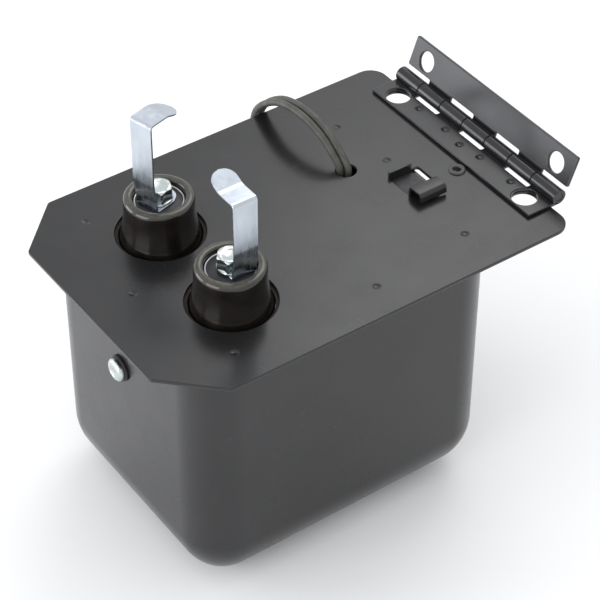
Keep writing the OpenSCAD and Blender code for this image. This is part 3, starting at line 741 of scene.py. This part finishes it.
def hex_head(place, af, z0, z1, turn_deg, dish):
    """Hexagon head with a turned chamfer and a shallow dished top."""
    corner = af / math.sqrt(3)
    around, sixth = 96, math.pi / 6
    wide = 2 * corner                       # no chamfer at this height
    verts, rows = [], []

    def row(z, radius):
        rows.append(range(len(verts), len(verts) + around))
        for k in range(around):
            a = 2 * math.pi * k / around
            r, b = radius(a), a + math.radians(turn_deg)
            verts.append(place @ V(r * math.cos(b), r * math.sin(b), z))

    def hexagon(a):
        local = (a + sixth) % (math.pi / 3) - sixth
        return min(corner * math.cos(sixth) / math.cos(sixth - abs(local)), corner - 0.12)

    for z, limit in ((z0, wide), (z1 - 1.1, wide), (z1 - 0.75, corner * 0.985),
                     (z1 - 0.4, corner * 0.94), (z1 - 0.12, corner * 0.885), (z1, corner * 0.84)):
        row(z, lambda a: min(hexagon(a), limit))
    for r, z in ((dish + 0.5, z1), (dish, z1 - 0.25), (dish * 0.6, z1 - 0.42)):
        row(z, lambda a: r)
    return verts, bridge(rows) + [list(reversed(rows[-1])), list(rows[0])]


SCREW_Z = TOP + 15.87                       # underside of the terminal screws' flanges
HEX_AF, HEX_FROM, HEX_TO, HEX_TURN, HEX_DISH = 9.4, 1.0, 6.2, 12, 2.6
FLANGE = [(0, 0.02), (5.1, 0.02), (5.35, 0.2), (5.4, 0.6), (5.2, 1.0), (4.6, 1.25), (0, 1.25)]
STUD_L, CREST, ROOT, HALF_PITCH = 53, 2.4, 2.12, 0.4
THREAD = ([(0, -STUD_L)]
          + [(CREST if k % 2 else ROOT, 0.5 - STUD_L + HALF_PITCH * k) for k in range(131)]
          + [(CREST, 0.1), (0, 0.1)])
for tag, s in TERMINALS:
    place = at_terminal(s, SCREW_Z)
    head = loose("hex", *hex_head(place, HEX_AF, HEX_FROM, HEX_TO, s * HEX_TURN, HEX_DISH))
    flange = loose("flange", *lathe_data(FLANGE, 64, place))
    shank = loose("shank", *lathe_data(THREAD, 32, place))
    ob = join(head, flange, shank)
    ob.name = "hex_screw_" + tag
    dress(ob, SCREW_ZINC, "transformer", "terminal_screw_" + tag, 28)

# ---------------------------------------------------------------- contact strips
STRIP_W, STRIP_T, STRIP_EDGE = 10.4, 0.8, 0.16
FOOT_MID, FOOT_BACK = TOP + 15.45, 7.2      # the foot's middle height, its reach past the screw
LEG_D, LEG_R, BLADE_M, BLADE_R = 6.4, 1.0, 7.5, 1.2
ARM_L = 9
STEP = 0.5
MIN_END = 0.25                              # half the strip's width at its very ends


def strip_line(height, tip_deg, tip_len):
    """A strip's middle line, as (reach, rise) from under the screw, in short steps."""
    h = height - (FOOT_MID - TOP)
    turned = math.radians(tip_deg)
    path = [(-FOOT_BACK, 0), (LEG_D - LEG_R, 0)] + arc(LEG_D - LEG_R, LEG_R, LEG_R, -90, 0, 8)[1:]
    path += [(LEG_D, 3.0), (LEG_D + 0.1, 3.9), (BLADE_M - 0.1, 11.4), (BLADE_M, 12.6),
             (BLADE_M, h - BLADE_R)]
    path += arc(BLADE_M - BLADE_R, h - BLADE_R, BLADE_R, 0, 90, 10)[1:]
    knee = Vector((BLADE_M - ARM_L, h))
    away = Vector((-math.cos(turned), math.sin(turned)))
    path += [knee + Vector((0.9, 0)), knee + Vector((0.3, 0.04 * math.copysign(1, tip_deg))),
             knee + 0.5 * away, knee + tip_len * away]
    pts = [Vector(p) for p in path]
    dense = []
    for a, b in zip(pts, pts[1:]):
        steps = max(1, int((b - a).length / STEP))
        dense += [a + (b - a) * k / steps for k in range(steps)]
    return dense + [pts[-1]]


def strip(tag, y, angle, shift, height, tip_deg, tip_len):
    """A bent strip with rounded ends: foot under the screw, blade, arm and turned tip."""
    line = strip_line(height, tip_deg, tip_len)
    total = sum((b - a).length for a, b in zip(line, line[1:]))
    half, run, verts, rows = STRIP_W / 2, 0.0, [], []
    d_dir = Vector((math.cos(math.radians(angle)), math.sin(math.radians(angle)), 0))
    w_dir = Vector((-d_dir.y, d_dir.x, 0))
    base = Vector((TERM_X + shift, y, FOOT_MID))
    t, e = STRIP_T / 2, STRIP_EDGE
    for i, p in enumerate(line):
        if i:
            run += (p - line[i - 1]).length
        near = min(run, total - run)
        w = half
        if near < half:
            w = max(math.sqrt(max(half ** 2 - (half - near) ** 2, 0)), MIN_END)
        t_dir = (line[min(i + 1, len(line) - 1)] - line[max(i - 1, 0)]).normalized()
        n_dir = Vector((-t_dir.y, t_dir.x))
        section = ((-w, -t + e), (-w + e, -t), (w - e, -t), (w, -t + e), (w, t - e), (w - e, t),
                   (-w + e, t), (-w, t - e))
        rows.append(list(range(len(verts), len(verts) + len(section))))
        for a, b in section:
            q = p + n_dir * b
            verts.append((base + d_dir * q.x + w_dir * a + Vector((0, 0, q.y))) * MM)
    ob = loose("strip_" + tag, verts, bridge(rows) + [rows[0][::-1], rows[-1]])
    dress(ob, ZINC, None, ["contact_foot_" + tag, "contact_blade_" + tag], 32)
    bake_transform(ob)


strip("left", TERM_Y, -165, 0, 55.6, -20, 8.2)
strip("right", -TERM_Y, -90, 1.8, 50, 24, 8.6)

# ---------------------------------------------------------------- can screw
CAN_SCREW_Y, CAN_SCREW_Z = 1.5, 84.5
PAN_SCREW = [(0, -12), (2.1, -11.6), (2.1, 1.35), (4.6, 1.35), (4.8, 1.5), (4.8, 2.1), (4.6, 2.75),
             (4.1, 3.25), (3.3, 3.6), (2.2, 3.75), (1.8, 3.4), (0, 3.3)]
CAN_WASHER = [(2.4, 0.05), (5.25, 0.05), (5.4, 0.3), (5.4, 0.95), (5.2, 1.2), (2.4, 1.2),
              (2.4, 0.05)]
place = (Matrix.Translation(V(-CAN_L / 2, CAN_SCREW_Y, CAN_SCREW_Z))
         @ Matrix.Rotation(math.radians(-90), 4, "Y"))
piece("pan_screw", *lathe_data(PAN_SCREW, 72, place), SCREW_ZINC, "transformer", "can_screw",
      "zinc")
piece("black_washer", *lathe_data(CAN_WASHER, 72, place), DARK, "transformer", "can_screw_washer",
      "black_steel")

# ---------------------------------------------------------------- floor and light
FLOOR_HALF, FLOOR_Z = 4, -0.0002
floor_mesh = bpy.data.meshes.new("floor")
floor_mesh.from_pydata([(x * FLOOR_HALF, y * FLOOR_HALF, FLOOR_Z)
                        for x, y in ((-1, -1), (1, -1), (1, 1), (-1, 1))], [], [(0, 1, 2, 3)])
floor = bpy.data.objects.new("floor", floor_mesh)
bpy.context.scene.collection.objects.link(floor)
n = Nodes("pale_floor")
n.color(n.ramp(n.noise(3), (0.3, 0.92), (0.7, 0.94)))
n.set(Roughness=0.9)
floor_mesh.materials.append(n.mat)

world = bpy.data.worlds.new("studio")
world.use_nodes = True
background = world.node_tree.nodes["Background"]
background.inputs["Color"].default_value = (0.97, 0.98, 1, 1)
background.inputs["Strength"].default_value = 1.0
bpy.context.scene.world = world
bpy.context.scene.view_settings.view_transform = "Standard"


def area(name, at, target, size, power, tint=(1, 1, 1)):
    """A square area light, in metres and watts, that faces its target."""
    data = bpy.data.lights.new(name, "AREA")
    data.size = size
    data.energy = power
    data.color = tint
    ob = bpy.data.objects.new(name, data)
    ob.location = at
    ob.rotation_euler = (Vector(target) - Vector(at)).to_track_quat("-Z", "Y").to_euler()
    bpy.context.scene.collection.objects.link(ob)


area("key", (1.0, 0.7, 1.7), (0, 0, 0.1), 1.1, 8)
area("left_card", (-1.0, 0.9, 0.3), (0.1, 0, 0.14), 0.7, 7, (0.93, 0.95, 1))
area("front_fill", (-1.3, -0.1, 0.35), (0, 0, 0.06), 0.9, 9)
